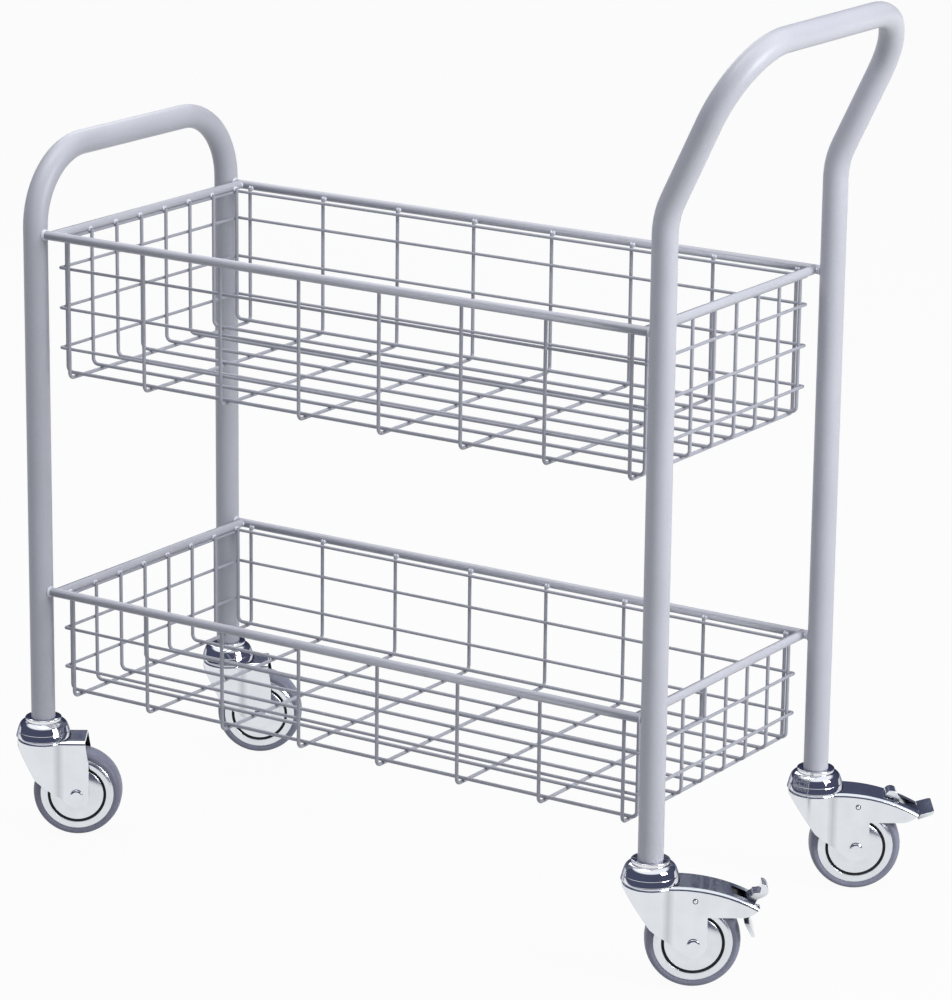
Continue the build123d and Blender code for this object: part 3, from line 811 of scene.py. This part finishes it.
class TROLLEY_OT_brakes(bpy.types.Operator):
    """Ease the edges of the brake pedals and finish their pins, shoes and rivets"""

    bl_idname = "trolley.brakes"
    bl_label = "Brakes"

    # How far from its pin a pedal carries painted shade, and the width over which that fades
    GRIME_REACH, GRIME_FADE = 0.017, 0.006
    # The pad's outer corners lie past this share of the pedal's reach
    OUTER = 0.9
    RIVET_STEPS = 40

    def execute(self, context):
        """Copy the pedals as rounded skins and plate the rest."""
        sizes = context.scene.trolley_sizes
        for corner in BRAKED:
            node = f"{corner}_brake_pedal"
            pin, axis = joint_axis(f"{corner}_pedal_rock")
            bm = plain_copy(node)
            self.round_pad(bm, pin, axis, sizes.pad_corner)
            soften(bm, 2 * sizes.sheet_edge, segments=3)
            # Painted shade on the pedal round its pin
            self.painted_shade(bm, pin, axis)
            flatten(piece_from(bm, f"{node}_cast", f"{corner}_pedal", "zinc", [node]))
            self.rivets(corner)
            keep_node(f"{corner}_pedal_pin", "zinc")
            keep_node(f"{corner}_brake_shoe", "zinc")
        return {"FINISHED"}

    def round_pad(self, bm, pin, axis, radius):
        """Round the outer corners of a pad, at its two ends and furthest from the pin."""
        half_width = max(abs((vert.co - pin).dot(axis)) for vert in bm.verts)
        furthest = max((vert.co - pin).cross(axis).length for vert in bm.verts)
        corners = []
        for edge in bm.edges:
            middle = (edge.verts[0].co + edge.verts[1].co) / 2 - pin
            at_end = abs(middle.dot(axis)) > half_width - JOIN
            if at_end and middle.cross(axis).length > self.OUTER * furthest:
                corners.append(edge)
        bmesh.ops.bevel(bm, geom=corners, offset=radius, offset_type="OFFSET", affect="EDGES", segments=8,
                        profile=0.5, material=-1)

    def painted_shade(self, bm, pin, axis):
        """Paint shade on a pedal towards its pin, inside the arm."""
        layer = bm.verts.layers.float.new("painted_shade")
        for vert in bm.verts:
            reach = (vert.co - pin).cross(axis).length
            vert[layer] = max(0.0, min(1.0, (self.GRIME_REACH - reach) / self.GRIME_FADE))

    def rivets(self, corner):
        """The shoe's two rivets, each with a low head and a ring of painted shade round its middle."""
        place = joint_place(f"{corner}_shoe_press")
        rivet = spun([(0.0, 0.0192), (0.0020, 0.0192), (0.0020, 0.0240), (0.0030, 0.0240), (0.0030, 0.0243),
                      (0.0022, 0.0243), (0.0021, 0.0250, 0.0004), (0.0, 0.0252)],
                     steps=self.RIVET_STEPS, closed=False)
        piece_from(copies(rivet, [place, place @ OTHER_SIDE]), f"{corner}_rivets_rolled", f"{corner}_castor",
                   "zinc", [f"{corner}_shoe_rivets"])
        # The ring of painted shade round each head
        ring = spun([(0.0022, 0.02431), (0.00295, 0.02431), (0.00295, 0.02446), (0.0022, 0.02446)],
                    steps=self.RIVET_STEPS)
        piece_from(copies(ring, [place, place @ OTHER_SIDE]), f"{corner}_painted_rivet_shade", f"{corner}_castor",
                   "shade_ring", [])


class TROLLEY_OT_stage(bpy.types.Operator):
    """Lay the floor and set the light and the camera"""

    bl_idname = "trolley.stage"
    bl_label = "Stage"

    FLOOR_HALF = 60
    # Height of the top of the walls and of the foot of the ceiling, as a share of the way from down to up
    WALL_TOP, CEILING_FOOT = 0.60, 0.74
    LAMP_AIM = Vector((0, 0, 0.5))
    SENSOR = 36

    def execute(self, context):
        """Make the floor, the studio round it, the lights and the camera."""
        stage = context.scene.trolley_stage
        context.scene.view_settings.view_transform = "Standard"
        self.floor(context, stage)
        self.studio(context, stage)
        self.lights(context, stage)
        self.camera(context, stage)
        return {"FINISHED"}

    def floor(self, context, stage):
        """A wide pale floor, slightly uneven in tone."""
        bm = bmesh.new()
        bmesh.ops.create_grid(bm, x_segments=4, y_segments=4, size=self.FLOOR_HALF)
        mesh = bpy.data.meshes.new("floor")
        bm.to_mesh(mesh)
        bm.free()
        material, tree, shader, place = new_finish("studio_floor", 0.0)
        cloud = use_group(tree, finish["speckle"], Scale=0.8, Detail=2.0)
        tree.links.new(place, cloud.inputs["Place"])
        tone = blended(tree, cloud.outputs["Mask"], shade(stage.floor, 0.99), stage.floor)
        tree.links.new(tone, shader.inputs["Base Color"])
        shader.inputs["Roughness"].default_value = 0.9
        shader.inputs["Specular IOR Level"].default_value = 0.1
        path = tree.nodes.new("ShaderNodeLightPath")
        sight = path.outputs["Is Camera Ray"]
        for ray in ("Is Glossy Ray", "Is Transmission Ray"):
            either = tree.nodes.new("ShaderNodeMath")
            either.operation = "MAXIMUM"
            tree.links.new(sight, either.inputs[0])
            tree.links.new(path.outputs[ray], either.inputs[1])
            sight = either.outputs[0]
        white = tree.nodes.new("ShaderNodeEmission")
        mix = tree.nodes.new("ShaderNodeMixShader")
        tree.links.new(ranged(tree, sight, 0.0, stage.white), mix.inputs["Fac"])
        tree.links.new(shader.outputs["BSDF"], mix.inputs[1])
        tree.links.new(white.outputs["Emission"], mix.inputs[2])
        tree.links.new(mix.outputs["Shader"], tree.nodes["Material Output"].inputs["Surface"])
        mesh.materials.append(material)
        floor = bpy.data.objects.new("floor", mesh)
        context.scene.collection.objects.link(floor)

    def studio(self, context, stage):
        """Dim walls under a pale ceiling."""
        world = bpy.data.worlds.new("studio")
        world.use_nodes = True
        tree = world.node_tree
        place = tree.nodes.new("ShaderNodeTexCoord")
        split = tree.nodes.new("ShaderNodeSeparateXYZ")
        ramp = tree.nodes.new("ShaderNodeValToRGB")
        wall, ceiling = ramp.color_ramp.elements
        wall.position, ceiling.position = self.WALL_TOP, self.CEILING_FOOT
        wall.color, ceiling.color = (*stage.walls, 1), (*stage.ceiling, 1)
        tree.links.new(place.outputs["Generated"], split.inputs["Vector"])
        tree.links.new(split.outputs["Z"], ramp.inputs["Fac"])
        tree.links.new(ramp.outputs["Color"], tree.nodes["Background"].inputs["Color"])
        context.scene.world = world

    def lights(self, context, stage):
        """Softboxes at the handle end, behind the camera, overhead and behind the front legs."""
        for name, power, size, spot in (
            ("key", stage.key, 1.2, (2.7, 0.1, 1.45)),
            ("front", stage.front, 1.6, (3.0, -4.4, 2.4)),
            ("top", stage.top, 1.0, (-0.2, -0.4, 2.5)),
            ("back", stage.back, 1.6, (-2.0, 1.8, 2.3)),
        ):
            lamp = bpy.data.lights.new(name, "AREA")
            lamp.energy = power
            lamp.size = size
            box = bpy.data.objects.new(name, lamp)
            box.location = spot
            box.rotation_euler = (box.location - self.LAMP_AIM).to_track_quat("Z", "Y").to_euler()
            box.visible_glossy = name != "front"
            context.scene.collection.objects.link(box)

    def camera(self, context, stage):
        """The photograph's view."""
        lens = bpy.data.cameras.new("camera")
        lens.sensor_width = self.SENSOR
        lens.lens = stage.lens
        camera = bpy.data.objects.new("camera", lens)
        eye, aim = Vector(stage.eye), Vector(stage.aim)
        turn = (eye - aim).to_track_quat("Z", "Y").to_matrix().to_4x4()
        camera.matrix_world = Matrix.Translation(eye) @ turn @ Matrix.Rotation(stage.roll, 4, "Z")
        context.scene.collection.objects.link(camera)
        context.scene.camera = camera


class TROLLEY_PT_dress(bpy.types.Panel):
    """Sidebar list of the trolley's pieces"""

    bl_label = "Mail Sorting Trolley"
    bl_space_type = "VIEW_3D"
    bl_region_type = "UI"
    bl_category = "Trolley"

    def draw(self, context):
        """List the operators in the order that they run."""
        for step in STEPS:
            self.layout.operator(step.bl_idname)


SETTINGS = (TrolleyFinish, TrolleySizes, TrolleyStage)
STEPS = (TROLLEY_OT_finishes, TROLLEY_OT_tubes, TROLLEY_OT_baskets, TROLLEY_OT_welds, TROLLEY_OT_castor_tops,
         TROLLEY_OT_forks, TROLLEY_OT_wheels, TROLLEY_OT_brakes, TROLLEY_OT_stage)
CLASSES = (*SETTINGS, *STEPS, TROLLEY_PT_dress)


def register():
    """Add the settings, operators and panel."""
    for item in CLASSES:
        bpy.utils.register_class(item)
    bpy.types.Scene.trolley_finish = PointerProperty(type=TrolleyFinish)
    bpy.types.Scene.trolley_sizes = PointerProperty(type=TrolleySizes)
    bpy.types.Scene.trolley_stage = PointerProperty(type=TrolleyStage)


def unregister():
    """Take the settings, operators and panel away again."""
    del bpy.types.Scene.trolley_finish
    del bpy.types.Scene.trolley_sizes
    del bpy.types.Scene.trolley_stage
    for item in reversed(CLASSES):
        bpy.utils.unregister_class(item)


def main():
    """Dress the trolley."""
    register()
    bpy.ops.trolley.finishes()
    bpy.ops.trolley.tubes()
    bpy.ops.trolley.baskets()
    bpy.ops.trolley.welds()
    bpy.ops.trolley.castor_tops()
    bpy.ops.trolley.forks()
    bpy.ops.trolley.wheels()
    bpy.ops.trolley.brakes()
    bpy.ops.trolley.stage()


if __name__ == "__main__":
    main()
